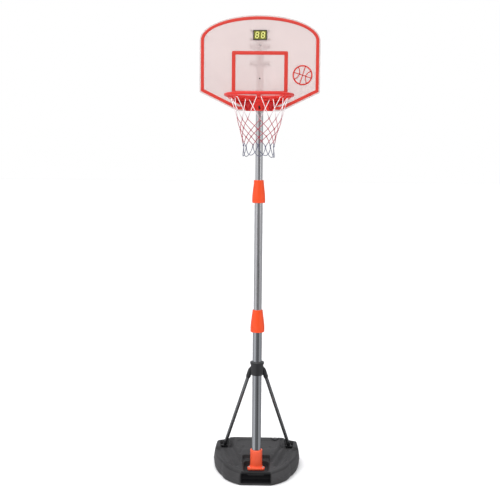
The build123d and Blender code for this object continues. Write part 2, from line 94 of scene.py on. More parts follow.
def placeCamera():
    camera = bpy.data.objects.new("camera", bpy.data.cameras.new("camera"))
    bpy.context.scene.collection.objects.link(camera)
    camera.data.lens = studio["lens"]
    camera.data.sensor_width = 36
    camera.data.clip_end = 80
    camera.location = (studio["side"], -studio["distance"], studio["height"])
    camera.rotation_mode = "QUATERNION"
    aim = Euler((math.radians(90 - studio["pitch"]), 0, math.radians(studio["yaw"]))).to_quaternion()
    camera.rotation_quaternion = aim @ Quaternion((0, 0, 1), math.radians(studio["roll"]))
    bpy.context.scene.camera = camera


def addLight(name, kind, place, target, power):
    data = bpy.data.lights.new(name, kind)
    data.energy = power
    light = bpy.data.objects.new(name, data)
    bpy.context.scene.collection.objects.link(light)
    light.location = place
    light.rotation_mode = "QUATERNION"
    light.rotation_quaternion = (Vector(target) - Vector(place)).to_track_quat("-Z", "Y")
    return data


def colourRamp(tree, source, stops, blending="LINEAR"):
    ramp = tree.nodes.new("ShaderNodeValToRGB")
    ramp.color_ramp.interpolation = blending
    while len(ramp.color_ramp.elements) < len(stops):
        ramp.color_ramp.elements.new(0.5)
    for element, (place, colour) in zip(ramp.color_ramp.elements, stops):
        element.position = place
        element.color = (*colour, 1)
    tree.links.new(source, ramp.inputs["Fac"])
    return ramp.outputs["Color"]


# bright walls with darker gaps between them all round the stand, so that the tubes show upright bands
def bandsAround(tree, direction):
    around = tree.nodes.new("ShaderNodeTexGradient")
    around.gradient_type = "RADIAL"
    tree.links.new(direction, around.inputs["Vector"])
    return colourRamp(tree, around.outputs["Fac"], [(place, (grey, grey, grey * 1.04)) for place, grey in (
        (0.0, 0.72), (0.07, 1.0), (0.12, 1.0), (0.165, 0.34), (0.25, 0.26), (0.33, 0.11), (0.38, 0.56),
        (0.47, 0.62), (0.58, 0.42), (0.75, 0.9), (0.93, 0.66))], "EASE")


def lightStudio():
    for name, place, target, size, power in (
            ("keyLight", (-1.6, -2.4, 2.6), (0, 0, 0.9), (0.7, 1.8), 13),
            ("fillLight", (2.2, -1.8, 1.6), (0, 0, 0.8), (0.6, 2.0), 5),
            ("boardLight", (0.3, -2.6, 2.4), (0, 0, 1.55), (1.4, 0.8), 7)):
        light = addLight(name, "AREA", place, target, power)
        light.shape = "RECTANGLE"
        light.size, light.size_y = size
    # a very wide soft light overhead keeps the floor one even white out to the horizon
    overhead = addLight("overheadLight", "SUN", (-0.5, -1.0, 4.0), (0, 0, 0), studio["sunPower"])
    overhead.angle = math.radians(studio["sunSpread"])

    world = bpy.data.worlds.new("softBox")
    bpy.context.scene.world = world
    world.use_nodes = True
    tree = world.node_tree
    tree.nodes.clear()
    out = tree.nodes.new("ShaderNodeOutputWorld")
    mix = tree.nodes.new("ShaderNodeMixShader")
    plain = tree.nodes.new("ShaderNodeBackground")
    plain.inputs["Color"].default_value = (1, 1, 1, 1)
    plain.inputs["Strength"].default_value = 1.0
    walls = tree.nodes.new("ShaderNodeBackground")
    walls.inputs["Strength"].default_value = studio["wallStrength"]
    path = tree.nodes.new("ShaderNodeLightPath")
    coords = tree.nodes.new("ShaderNodeTexCoord")
    link = tree.links.new
    link(bandsAround(tree, coords.outputs["Generated"]), walls.inputs["Color"])
    link(path.outputs["Is Camera Ray"], mix.inputs["Fac"])
    link(walls.outputs["Background"], mix.inputs[1])
    link(plain.outputs["Background"], mix.inputs[2])
    link(mix.outputs["Shader"], out.inputs["Surface"])
    bpy.context.scene.view_settings.view_transform = "Standard"
    bpy.context.scene.view_settings.look = "None"


placeCamera()
lightStudio()
print("camera and light ready")


# every shape below is a pair: an array of points and a list of faces

# quads between neighbours of a rows by cols grid of points, and a face over each open end if asked for
def gridShape(points, wrapRows=False, wrapCols=False, caps=False):
    rows, cols = points.shape[:2]
    index = np.arange(rows * cols).reshape(rows, cols)
    ends = [index[0].tolist(), index[-1].tolist()]
    if wrapRows:
        index = np.vstack([index, index[:1]])
    if wrapCols:
        index = np.hstack([index, index[:, :1]])
    quads = np.stack([index[:-1, :-1], index[1:, :-1], index[1:, 1:], index[:-1, 1:]], -1)
    return points.reshape(-1, 3), quads.reshape(-1, 4).tolist() + (ends if caps else [])


# radius and height of each profile point, carried round the pole's axis; flutes cut in between two heights
def latheShape(profile, steps=64, flutes=None):
    turn = np.linspace(0, 2 * np.pi, steps, endpoint=False)
    radius, height = (column[:, None] for column in np.asarray(profile, float).T)
    radius = np.repeat(radius, steps, 1)
    if flutes:
        count, depth, low, high = flutes
        radius = radius - depth * (0.5 - 0.5 * np.cos(count * turn)) ** 3 * ((height > low) & (height < high))
    points = np.stack([radius * np.cos(turn), radius * np.sin(turn), height + 0 * radius], -1)
    return gridShape(points, wrapRows=True, wrapCols=True)


# a ring of points round each path point, square to the path's direction there
def tubeShape(path, radius, sides=8, closed=False):
    path = np.asarray(path, float)
    along = np.roll(path, -1, 0) - np.roll(path, 1, 0) if closed else np.gradient(path, axis=0)
    along /= np.linalg.norm(along, axis=1, keepdims=True)
    reference = np.where(np.abs(along[:, 2:]) > 0.9, np.array([[1.0, 0.1, 0]]), np.array([[0, 0, 1.0]]))
    across = np.cross(along, reference)
    across /= np.linalg.norm(across, axis=1, keepdims=True)
    upward = np.cross(across, along)
    turn = np.linspace(0, 2 * np.pi, sides, endpoint=False)[None, :, None]
    radius = np.broadcast_to(np.asarray(radius, float), (len(path),))[:, None, None]
    rings = path[:, None] + radius * (across[:, None] * np.cos(turn) + upward[:, None] * np.sin(turn))
    return gridShape(rings, wrapRows=closed, wrapCols=True, caps=not closed)


# an outline in X and Z made into a flat plate between two depths
def plateShape(outline, front, back):
    x, z = np.asarray(outline, float).T
    layers = [np.column_stack([x, np.full(len(x), y), z]) for y in (front, back)]
    return gridShape(np.stack(layers), wrapCols=True, caps=True)


# an outline in X and Y made into a flat plate between two heights
def slabShape(outline, low, high):
    outline = np.asarray(outline, float)
    layers = [np.column_stack([outline, np.full(len(outline), z)]) for z in (low, high)]
    return gridShape(np.stack(layers), wrapCols=True, caps=True)


# a flat band between two closed outlines in X and Z, its edges softened
def bandShape(outer, inner, front, back):
    across = np.array([0, 0, 0.05, 0.95, 1, 1])[:, None, None]
    depth = back + (front - back) * np.array([0, 0.6, 1, 1, 0.6, 0])
    flat = np.asarray(outer)[None] * (1 - across) + np.asarray(inner)[None] * across
    y = np.broadcast_to(depth[:, None], flat.shape[:2])
    return gridShape(np.stack([flat[..., 0], y, flat[..., 1]], -1), wrapRows=True, wrapCols=True)


# a line of some width drawn on an upright face, along a path in X and Z
def strokeShape(path, width, front, back):
    path = np.asarray(path, float)
    along = np.gradient(path, axis=0)
    along /= np.linalg.norm(along, axis=1, keepdims=True)
    side = np.stack([-along[:, 1], along[:, 0]], -1) * width / 2
    left, right = path + side, path - side
    corners = [np.column_stack([edge[:, 0], np.full(len(path), y), edge[:, 1]])
               for edge, y in ((left, back), (left, front), (right, front), (right, back))]
    return gridShape(np.stack(corners, 1), wrapCols=True, caps=True)


# a ball, or an egg when its three half-sizes differ
def ballShape(centre, size, rings=7, steps=10):
    lift = np.linspace(0.15, np.pi - 0.15, rings)[:, None]
    turn = np.linspace(0, 2 * np.pi, steps, endpoint=False)
    unit = np.stack([np.sin(lift) * np.cos(turn), np.sin(lift) * np.sin(turn), np.cos(lift) + 0 * turn], -1)
    return gridShape(np.asarray(centre) + unit * size, wrapCols=True, caps=True)


def roundRectangle(halfWidth, halfHeight, corner, centre=(0, 0), steps=6):
    turn = np.linspace(0, np.pi / 2, steps)
    arc = np.column_stack([np.cos(turn), np.sin(turn)]) * corner
    quarter = arc + [halfWidth - corner, halfHeight - corner]
    flipped = quarter[::-1] * [-1, 1]
    return np.vstack([quarter, flipped, -quarter, -flipped]) + centre


def joined(shapes):
    counts = np.cumsum([0] + [len(points) for points, _ in shapes])
    faces = [[index + start for index in face] for (_, some), start in zip(shapes, counts) for face in some]
    return np.concatenate([points for points, _ in shapes]), faces


# a mesh object from a shape, its faces turned outwards, riding on a body in place of some of its nodes
def newPiece(name, shape, material, body=None, replacing=(), smooth=True, bevel=0.0):
    points, faces = shape
    mesh = bpy.data.meshes.new(name)
    mesh.from_pydata(points.tolist(), [], faces)
    mesh.validate()
    work = bmesh.new()
    work.from_mesh(mesh)
    bmesh.ops.recalc_face_normals(work, faces=work.faces)
    work.to_mesh(mesh)
    work.free()
    mesh.materials.append(material)
    mesh.polygons.foreach_set("use_smooth", np.full(len(mesh.polygons), smooth))
    mesh.update()
    piece = bpy.data.objects.new(name, mesh)
    bpy.context.scene.collection.objects.link(piece)
    if bevel:
        edges = piece.modifiers.new("edges", "BEVEL")
        edges.width = bevel
        edges.segments = 2
        edges.limit_method = "ANGLE"
        edges.angle_limit = math.radians(30)
        edges.harden_normals = True
        mesh.polygons.foreach_set("use_smooth", np.full(len(mesh.polygons), True))
    if body:
        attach(piece, body)
        if replacing:
            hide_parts(*replacing)
    return piece


def startMaterial(name, colour, roughness, metallic=0.0, alpha=1.0):
    material = bpy.data.materials.new(name)
    material.use_nodes = True
    shader = material.node_tree.nodes["Principled BSDF"]
    shader.inputs["Base Color"].default_value = (*colour, 1)
    shader.inputs["Roughness"].default_value = roughness
    shader.inputs["Metallic"].default_value = metallic
    shader.inputs["Alpha"].default_value = alpha
    material.diffuse_color = (*colour, alpha)
    return material


# a noise texture on object coordinates, stretched along the axes
def addNoise(material, scale, stretch=(1, 1, 1), detail=3.0):
    tree = material.node_tree
    coords = tree.nodes.new("ShaderNodeTexCoord")
    mapping = tree.nodes.new("ShaderNodeMapping")
    mapping.inputs["Scale"].default_value = stretch
    noise = tree.nodes.new("ShaderNodeTexNoise")
    noise.inputs["Scale"].default_value = scale
    noise.inputs["Detail"].default_value = detail
    tree.links.new(coords.outputs["Object"], mapping.inputs["Vector"])
    tree.links.new(mapping.outputs["Vector"], noise.inputs["Vector"])
    return noise


def mapRange(material, source, low, high, fromLow=0.3, fromHigh=0.7):
    node = material.node_tree.nodes.new("ShaderNodeMapRange")
    node.inputs["From Min"].default_value = fromLow
    node.inputs["From Max"].default_value = fromHigh
    node.inputs["To Min"].default_value = low
    node.inputs["To Max"].default_value = high
    material.node_tree.links.new(source, node.inputs["Value"])
    return node.outputs["Result"]


def varyRoughness(material, source, low, high):
    shader = material.node_tree.nodes["Principled BSDF"]
    material.node_tree.links.new(mapRange(material, source, low, high), shader.inputs["Roughness"])


def varyColour(material, source, first, second):
    mix = material.node_tree.nodes.new("ShaderNodeMix")
    mix.data_type = "RGBA"
    mix.inputs[6].default_value = (*first, 1)
    mix.inputs[7].default_value = (*second, 1)
    link = material.node_tree.links.new
    link(mapRange(material, source, 0, 1), mix.inputs["Factor"])
    link(mix.outputs[2], material.node_tree.nodes["Principled BSDF"].inputs["Base Color"])


def addBump(material, source, strength, distance):
    bump = material.node_tree.nodes.new("ShaderNodeBump")
    bump.inputs["Strength"].default_value = strength
    bump.inputs["Distance"].default_value = distance
    link = material.node_tree.links.new
    link(source, bump.inputs["Height"])
    link(bump.outputs["Normal"], material.node_tree.nodes["Principled BSDF"].inputs["Normal"])


# injection-moulded plastic: faint flow marks in the colour, a fine grain in the surface
def moulded(name, colour, roughness, variation=0.12, grain=900, bump=0.15, metallic=0.0, alpha=1.0):
    material = startMaterial(name, colour, roughness, metallic, alpha)
    flow = addNoise(material, 9, (1, 1, 0.5), 4)
    light = tuple(min(1, c * (1 + variation)) for c in colour)
    dark = tuple(c * (1 - variation) for c in colour)
    varyColour(material, flow.outputs["Fac"], dark, light)
    fine = addNoise(material, grain, detail=2)
    varyRoughness(material, fine.outputs["Fac"], roughness * 0.85, min(1, roughness * 1.15))
    addBump(material, fine.outputs["Fac"], bump, 0.0003)
    return material


# drawn steel tube: long fine streaks in roughness and surface
def drawnSteel(name, tint, roughness):
    dark, middle, light = (tuple(c * level for c in tint) for level in (0.94, 1.0, 1.08))
    material = startMaterial(name, middle, roughness, metallic=1.0)
    streaks = addNoise(material, 320, (1, 1, 0.02), 3)
    varyRoughness(material, streaks.outputs["Fac"], roughness * 0.7, roughness * 1.4)
    cloud = addNoise(material, 14, (1, 1, 0.3), 3)
    varyColour(material, cloud.outputs["Fac"], dark, light)
    addBump(material, streaks.outputs["Fac"], 0.05, 0.0001)
    return material


# clear plastic with a frosted face: mostly diffuse, a little see-through
def frostedPanel():
    material = startMaterial("frostedPanel", (0.70, 0.575, 0.555), 0.38, alpha=0.58)
    haze = addNoise(material, 6, detail=3)
    varyColour(material, haze.outputs["Fac"], (0.685, 0.56, 0.54), (0.725, 0.595, 0.575))
    frost = addNoise(material, 1400, detail=2)
    varyRoughness(material, frost.outputs["Fac"], 0.32, 0.46)
    addBump(material, frost.outputs["Fac"], 0.12, 0.0002)
    return material


# braided cord dyed in three bands by height, with a fine braid across it
def netCord():
    material = startMaterial("netCord", (0.85, 0.82, 0.82), 0.85)
    tree = material.node_tree
    coords = tree.nodes.new("ShaderNodeTexCoord")
    split = tree.nodes.new("ShaderNodeSeparateXYZ")
    wobble = addNoise(material, 60, detail=2)
    tree.links.new(coords.outputs["Object"], split.inputs["Vector"])
    shift = tree.nodes.new("ShaderNodeMath")
    shift.operation = "MULTIPLY_ADD"
    shift.inputs[1].default_value = 0.02
    tree.links.new(wobble.outputs["Fac"], shift.inputs[0])
    tree.links.new(split.outputs["Z"], shift.inputs[2])
    top = rimCentre[2]
    height = tree.nodes.new("ShaderNodeMapRange")
    height.inputs["From Min"].default_value = top - 0.20
    height.inputs["From Max"].default_value = top + 0.02
    tree.links.new(shift.outputs["Value"], height.inputs["Value"])
    bands = colourRamp(tree, height.outputs["Result"], [
        (0.0, (0.10, 0.11, 0.17)), (0.22, (0.13, 0.13, 0.20)), (0.26, (0.36, 0.045, 0.07)),
        (0.58, (0.45, 0.09, 0.12)), (0.66, (0.62, 0.50, 0.52)), (0.82, (0.95, 0.92, 0.92))])
    tree.links.new(bands, tree.nodes["Principled BSDF"].inputs["Base Color"])
    braid = addNoise(material, 1100, detail=2)
    addBump(material, braid.outputs["Fac"], 0.5, 0.0006)
    return material


# the tank's plastic, mixed towards near-black by the mesh's shade attribute: painted shade over the deck, in
# the socket's pit, in the strut pockets, on the front ledge and on the flat front
def tankMaterial():
    material = moulded("tankPlastic", (0.054, 0.053, 0.054), 0.48, variation=0.25, grain=420, bump=0.3)
    tree = material.node_tree
    shader = tree.nodes["Principled BSDF"]
    plain = shader.inputs["Base Color"].links[0].from_socket
    # the amount of painted shade at each point, read from the mesh
    depth = tree.nodes.new("ShaderNodeAttribute")
    depth.attribute_name = "shade"
    mix = tree.nodes.new("ShaderNodeMix")
    mix.data_type = "RGBA"
    # the near-black colour that the painted shade mixes in
    mix.inputs[7].default_value = (0.006, 0.006, 0.007, 1)
    shader.inputs["Specular IOR Level"].default_value = 0.14
    tree.links.new(depth.outputs["Fac"], mix.inputs["Factor"])
    tree.links.new(plain, mix.inputs[6])
    tree.links.new(mix.outputs[2], shader.inputs["Base Color"])
    return material


# worn zinc plating on small screws
def zincPlate():
    material = startMaterial("zincScrews", (0.62, 0.62, 0.60), 0.34, metallic=1.0)
    cloud = addNoise(material, 240, detail=3)
    varyRoughness(material, cloud.outputs["Fac"], 0.26, 0.46)
    varyColour(material, cloud.outputs["Fac"], (0.50, 0.50, 0.49), (0.70, 0.69, 0.66))
    return material


# a lit display: the colour shines a little by itself
def glowing(name, colour, strength):
    material = startMaterial(name, colour, 0.35)
    shader = material.node_tree.nodes["Principled BSDF"]
    shader.inputs["Emission Color"].default_value = (*colour, 1)
    shader.inputs["Emission Strength"].default_value = strength
    return material


blackPlastic = moulded("blackPlastic", (0.022, 0.022, 0.024), 0.42)
tankPlastic = tankMaterial()
capPlastic = moulded("capPlastic", (0.018, 0.018, 0.02), 0.5)
orangePlastic = moulded("orangePlastic", (0.80, 0.066, 0.005), 0.36, variation=0.05)
socketPlastic = moulded("socketPlastic", (0.97, 0.115, 0.042), 0.36, variation=0.05)
redPlastic = moulded("redPlastic", (0.66, 0.016, 0.009), 0.4, variation=0.05)
# the rim's red darkened as painted shade, for the skirt's sunk backs
redPlasticPaintedShade = moulded("redPlasticPaintedShade", (0.52, 0.009, 0.010), 0.4, variation=0.05)
redPaint = moulded("redPaint", (0.61, 0.033, 0.019), 0.4, variation=0.04, bump=0.05)
clearClamp = moulded("clearClamp", (0.92, 0.90, 0.91), 0.3, variation=0.03, alpha=0.5)
strutPaint = moulded("strutPaint", (0.23, 0.235, 0.24), 0.22, grain=700, metallic=0.9)
casePlastic = moulded("casePlastic", (0.72, 0.70, 0.69), 0.5, variation=0.03)
jacketPlastic = moulded("jacketPlastic", (0.05, 0.16, 0.34), 0.3, variation=0.05)
circuitGreen = moulded("circuitGreen", (0.02, 0.16, 0.06), 0.4, variation=0.1)
displayGlass = glowing("displayGlass", (0.13, 0.13, 0.012), 0.25)
digitGlow = glowing("digitGlow", (0.72, 0.72, 0.22), 0.55)
zincScrews = zincPlate()
poleSteel = drawnSteel("poleSteel", (0.50, 0.515, 0.53), 0.15)
slideSteel = drawnSteel("slideSteel", (0.66, 0.665, 0.67), 0.27)
panelPlastic = frostedPanel()
cordMaterial = netCord()
print("materials ready")

# what every CAD piece wears; a piece with no line here is plain black plastic
finishes = {
    "base_tank": tankPlastic, "filler_cap": capPlastic, "pole_socket": socketPlastic, "lower_tube": poleSteel,
    "middle_tube": slideSteel, "upper_tube": slideSteel, "strut_left": strutPaint, "strut_right": strutPaint,
    "lower_sleeve": orangePlastic, "upper_sleeve": orangePlastic, "backboard": panelPlastic,
    "rim": redPlastic, "rim_bracket": redPlastic, "sensor_housing": redPlastic, "net": cordMaterial,
    "pole_saddles": clearClamp, "pole_straps": clearClamp, "score_case": casePlastic,
    "battery_door": casePlastic, "batteries": jacketPlastic, "circuit_board": circuitGreen,
    "display_window": displayGlass, "battery_contacts": zincScrews, "collar_screw": zincScrews,
}
for place in ("socket", "strap", "plate", "rim", "case"):
    finishes[place + "_screws"] = zincScrews
for nodeName, node in nodes.items():
    node.data.materials.clear()
    node.data.materials.append(finishes.get(nodeName, blackPlastic))


# 0 below one value, 1 above another, and a smooth step between them
def ease(value, low, high):
    t = np.clip((value - low) / (high - low), 0, 1)
    return t * t * (3 - 2 * t)


# distance outside a round-cornered rectangle in plan, negative inside it
def boxDistance(x, y, centre, half, corner):
    px = np.abs(x - centre[0]) - half[0] + corner
    py = np.abs(y - centre[1]) - half[1] + corner
    return np.hypot(np.maximum(px, 0), np.maximum(py, 0)) + np.minimum(np.maximum(px, py), 0) - corner


# distance from a line between two points in plan
def lineDistance(x, y, start, end):
    run, rise = end[0] - start[0], end[1] - start[1]
    t = np.clip(((x - start[0]) * run + (y - start[1]) * rise) / (run * run + rise * rise), 0, 1)
    return np.hypot(x - start[0] - t * run, y - start[1] - t * rise)


# the blow-moulded tank: one skin that swells half-way up its side, with a deck that rises to the back
tank = {
    "steps": 400, "deckRows": 112, "deckMiddle": 0.03, "centre": (0, 0.060), "frontHalf": 0.056,
    "frontHeight": 0.049, "backHeight": 0.078, "edge": 0.007,
    # the outline's points: half-width and distance behind the front, then ahead of the back
    "sidePlan": ((0.104, 0.041), (0.126, 0.088), (0.150, 0.150)), "sideEnd": 0.225, "earFront": 0.045,
    "earPlan": ((0.159, 0.029), (0.151, 0.021), (0.121, 0.021), (0.108, 0)),
    # boxes in plan: centre, half-sizes and corner radius
    "stepBox": ((0, -0.010), (0.050, 0.070), 0.008), "stepFloor": 0.047,
    "pitBox": ((0, -0.022), (0.045, 0.058), 0.024), "pitFloor": 0.033, "cutSlope": (-0.0015, 0.002),
    "earBox": ((0.126, 0.165), (0.029, 0.034), 0.012), "earRise": 0.0050, "earSlope": (-0.002, 0.004),
    "grooveDepth": 0.0045, "grooveWidth": 0.0045, "grooveOut": 0.005,
    "pocketBox": ((0.123, 0.171), (0.0165, 0.017), 0.007), "pocketFloor": 0.038,
    "pocketSlope": (-0.001, 0.0022), "rampBox": ((0.122, 0.130), (0.0145, 0.030), 0.010),
    "rampBack": (0.156, 0.053), "rampRise": 0.35, "rampSlope": (-0.002, 0.003),
    "panelBox": ((0, 0.150), (0.078, 0.040), 0.02), "panelDrop": 0.0016, "panelSlope": (-0.001, 0.004),
    "sideFall": 0.010, "fallAcross": (0.085, 0.160), "fallAlong": (-0.04, 0.09),
    "filler": ((0.070, 0.201), 0.009, 0.045), "fillerSlope": (-0.0008, 0.0008),
    "dishDrop": 0.0024, "dishSlope": (-0.0175, -0.0145),
    # lines in plan, with the width and depth of each dent
    "creases": (((0.098, 0.140), (0.054, 0.010), 0.007, 0.0042),
                ((0.117, 0.125), (0.075, -0.025), 0.009, 0.0046),
                ((0.140, 0.120), (0.110, 0.010), 0.008, 0.0025),
                ((0.060, 0.075), (0.050, 0.130), 0.005, 0.0015)),
    "terraces": ((0.014, 0.0024), (0.028, 0.0022)), "terraceWidth": 0.004, "terraceFade": (-0.10, -0.03),
    # the side's rows, as fractions of its height
    "sideRows": (0.985, 0.97, 0.955, 0.94, 0.925, 0.91, 0.8, 0.7, 0.6, 0.53, 0.515, 0.5, 0.485, 0.47, 0.4,
                 0.3, 0.26, 0.23, 0.2, 0.17, 0.14, 0.1, 0.085, 0.07, 0.055, 0.045, 0.015, 0),
    "topInset": 0.004, "footInset": 0.003, "footRound": 0.003, "footRoundTo": 0.06, "seam": 0.0007,
    "frontPocket": 0.013, "frontPocketFoot": (0.15, 0.22), "frontPocketHead": (0.03, 0.075),
    "frontPocketEdge": 0.006,
    # size against the outline and height of the underside's rows
    "underside": ((0.95, 0.0), (0.92, 0.004), (0.5, 0.005), (0.05, 0.005)),
    # how strongly painted shade darkens the whole deck, the socket's pit, the strut pockets and the front
    # ledge
    "deckShade": 0.37, "pitShade": 0.85, "pocketShade": 0.8, "ledgeShade": 0.9,
}


# the tank's outline from above, evenly spaced and with its corners rounded
def tankOutline():
    wide, front, back = tankHigh[0], tankLow[1], tankHigh[1]
    t = np.linspace(0, 1, 80)[:, None]

    def through(first, middle, last):
        first, middle, last = (np.array(p, float) for p in (first, middle, last))
        bend = 2 * middle - (first + last) / 2
        return (1 - t) ** 2 * first + 2 * t * (1 - t) * bend + t * t * last

    corner, shoulder, widening = ((x, front + behind) for x, behind in tank["sidePlan"])
    ear = [(wide, back - tank["earFront"])] + [(x, back - ahead) for x, ahead in tank["earPlan"]]
    half = np.vstack([[(0, front)], through((tank["frontHalf"], front), corner, shoulder),
                      through(shoulder, widening, (wide, front + tank["sideEnd"])), ear, [(0, back)]])
    whole = np.vstack([half, half[-2:0:-1] * [-1, 1], half[:1]])
    length = np.concatenate([[0], np.cumsum(np.linalg.norm(np.diff(whole, axis=0), axis=1))])
    even = np.linspace(0, length[-1], tank["steps"], endpoint=False)
    outline = np.column_stack([np.interp(even, length, whole[:, axis]) for axis in (0, 1)])
    return sum(np.roll(outline, shift, 0) for shift in range(-2, 3)) / 5


# the deck's height at a place in plan that lies some distance in from the outline
def deckHeight(x, y, inward):
    length = tankHigh[1] - tankLow[1]
    side = np.abs(x)
    z = tank["frontHeight"] + (tank["backHeight"] - tank["frontHeight"]) * (y - tankLow[1]) / length
    z = z - tank["sideFall"] * ease(side, *tank["fallAcross"]) * ease(y, *tank["fallAlong"])
    ahead = ease(-y, *tank["terraceFade"])
    for place, depth in tank["terraces"]:
        z = z - depth * ease(inward, place, place + tank["terraceWidth"]) * ahead
    for start, end, width, depth in tank["creases"]:
        z = z - depth * np.exp(-(lineDistance(side, y, start, end) / width) ** 2)

    # a raised pad with a groove round it at each strut's foot, and a sunk panel between the two
    ear = boxDistance(side, y, *tank["earBox"])
    groove = np.exp(-((ear - tank["grooveOut"]) / tank["grooveWidth"]) ** 2)
    z = z + tank["earRise"] * ease(-ear, *tank["earSlope"]) - tank["grooveDepth"] * groove
    z = z - tank["panelDrop"] * ease(-boxDistance(x, y, *tank["panelBox"]), *tank["panelSlope"])

    # the step and the pit round the socket, then each strut's pocket and the way down into it from the front
    for box, floorHeight in ((tank["stepBox"], tank["stepFloor"]), (tank["pitBox"], tank["pitFloor"])):
        down = ease(-boxDistance(x, y, *box), *tank["cutSlope"])
        z = z + (np.minimum(z, floorHeight) - z) * down
    down = ease(-boxDistance(side, y, *tank["pocketBox"]), *tank["pocketSlope"])
    z = z + (tank["pocketFloor"] - z) * down
    rampEnd, rampFoot = tank["rampBack"]
    ramp = rampFoot + np.maximum(0, rampEnd - y) * tank["rampRise"]
    down = ease(-boxDistance(side, y, *tank["rampBox"]), *tank["rampSlope"])
    z = z + (np.minimum(z, ramp) - z) * down

    # a shallow dish round the filler hole, so that its cap sits flush
    place, radius, bottom = tank["filler"]
    away = np.hypot(x - place[0], y - place[1])
    z = z - tank["dishDrop"] * ease(-away, *tank["dishSlope"])
    z = z + (bottom - z) * ease(radius - away, *tank["fillerSlope"])
    edge = tank["edge"]
    return z - edge + np.sqrt(edge ** 2 - np.clip(edge - inward, 0, edge) ** 2)


def buildTank():
    outline = tankOutline()
    along = np.roll(outline, -1, 0) - np.roll(outline, 1, 0)
    along /= np.linalg.norm(along, axis=1, keepdims=True)
    outward = np.column_stack([along[:, 1], -along[:, 0]])
    centre = np.array(tank["centre"])
    top = outline - outward * tank["topInset"]

    # the rounded edge, then the deck drawn in towards its middle
    inward = tank["edge"] * (1 - np.cos(np.linspace(0, np.pi / 2, 8)))
    edgeRows = top[None] - outward[None] * inward[:, None, None]
    reach = ((edgeRows[-1] - centre) * outward).sum(1)
    scale = np.linspace(1, tank["deckMiddle"], tank["deckRows"])[1:]
    deckRows = centre + (edgeRows[-1] - centre)[None] * scale[:, None, None]
    plan = np.concatenate([deckRows[::-1], edgeRows[::-1]])
    distance = np.concatenate([(tank["edge"] + (1 - scale)[:, None] * reach)[::-1],
                               np.repeat(inward[::-1, None], tank["steps"], 1)])
    height = deckHeight(plan[..., 0], plan[..., 1], distance)
    deck = np.dstack([plan, height])

    # the side, down to the floor, with a moulding seam and a deep pocket in the flat front
    fraction = np.array(tank["sideRows"])[:, None]
    swell = tank["topInset"] + (tank["footInset"] - tank["topInset"]) * (1 - fraction)
    swell = swell * (2 * fraction - 1) ** 2 - tank["seam"] * (np.abs(fraction - 0.5) < 0.02)
    toFoot = 1 - np.clip(fraction / tank["footRoundTo"], 0, 1)
    swell = swell + tank["footRound"] * (1 - np.sqrt(np.clip(1 - toFoot ** 2, 0, 1)))
    flat = ease(tank["frontHalf"] + 0.002 - np.abs(outline[:, 0]), 0, tank["frontPocketEdge"])
    flat = flat * (outline[:, 1] < tankLow[1] + 0.01)
    pocket = flat[None] * ease(fraction, *tank["frontPocketFoot"])
    pocket = pocket * ease(1 - fraction, *tank["frontPocketHead"])
    sidePlan = outline[None] - outward[None] * (swell + tank["frontPocket"] * pocket)[..., None]
    side = np.dstack([sidePlan, fraction * height[-1][None]])

    # the underside stands on a narrow rim
    under = [np.column_stack([centre + (side[-1, :, :2] - centre) * size, np.full(tank["steps"], z)])
             for size, z in tank["underside"]]
    skin = np.concatenate([deck, side, np.stack(under)])
    skinPiece = newPiece("tankSkin", gridShape(skin, wrapCols=True, caps=True), tankPlastic, "base",
                         replacing=("base_tank",))

    # how much painted shade each point gets, for the tank's material: some over the whole deck, more in the
    # socket's pit, the strut pockets, the front ledge and the flat front
    x, y = deck[..., 0], deck[..., 1]
    pit = tank["pitShade"] * ease(-boxDistance(x, y, *tank["pitBox"]), -0.002, 0.004)
    slot = tank["pocketShade"] * ease(-boxDistance(np.abs(x), y, *tank["pocketBox"]), -0.001, 0.003)
    ledge = tank["ledgeShade"] * ease(tank["frontHalf"] - np.abs(x), 0, tank["frontPocketEdge"])
    ledge = ledge * ease(tankLow[1] + 0.012 - y, 0, 0.003)
    deckShade = np.maximum.reduce([pit, slot, ledge, np.full(x.shape, tank["deckShade"])])
    # painted shade on the flat front, over its pocket and above its foot
    sideShade = np.maximum(pocket, flat[None] * ease(fraction, 0.12, 0.2))
    shade = np.concatenate([deckShade, sideShade, np.zeros((len(under), tank["steps"]))])
    skinPiece.data.attributes.new("shade", "FLOAT", "POINT").data.foreach_set("value", shade.ravel())


buildTank()
print("tank ready")

# the orange socket: a barrel with rounded lips and a screwed tab in front
socket = {"barrel": 0.022, "bore": 0.0172, "lip": 0.0018, "flare": 0.0022, "tabHalf": 0.031,
          "tabFront": -0.028, "tabBack": -0.004, "tabHeight": 0.008, "tabCorner": 0.006, "tabEdge": 0.0016}


def buildSocket():
    low, high = socketLow[2], socketHigh[2]
    outer, bore, lip = socket["barrel"], socket["bore"], socket["lip"]
    tabTop = low + socket["tabHeight"]
    profile = [(bore, low), (outer, low), (outer + socket["flare"], tabTop),
               (outer + 0.0008, tabTop + 0.0018), (outer, tabTop + 0.005), (outer - 0.0004, high - 0.010),
               (outer - 0.0002, high - lip), (outer - 0.0008, high - 0.0005), (outer - 0.002, high),
               (bore + 0.0012, high), (bore, high - 0.0012)]
    depth = (socket["tabBack"] - socket["tabFront"]) / 2
    middle = (socket["tabBack"] + socket["tabFront"]) / 2
    tab = slabShape(roundRectangle(socket["tabHalf"], depth, socket["tabCorner"], (0, middle)), low, tabTop)
    newPiece("socketBarrel", latheShape(profile), socketPlastic, "base",
             replacing=("pole_socket",))
    newPiece("socketTab", tab, socketPlastic, "base", bevel=socket["tabEdge"])


buildSocket()

# the collar that holds the struts: a barrel with a lip above and two arms that run down along the struts
collar = {"foot": 0.0215, "waist": 0.023, "lip": 0.0253, "bore": 0.0169, "footDrop": 0.056, "topDrop": 0.007,
          "lipHeight": 0.009, "arm": 0.0086,
          "armStart": (0.023, 0.010, 0.398), "armEnd": (0.124, 0.172, 0.057),
          "armReach": (-0.014, -0.006, 0.0, 0.006, 0.030, 0.0355, 0.037, 0.038),
          "armTaper": (0.35, 0.65, 0.90, 1.01, 1, 1, 0.965, 0.9)}


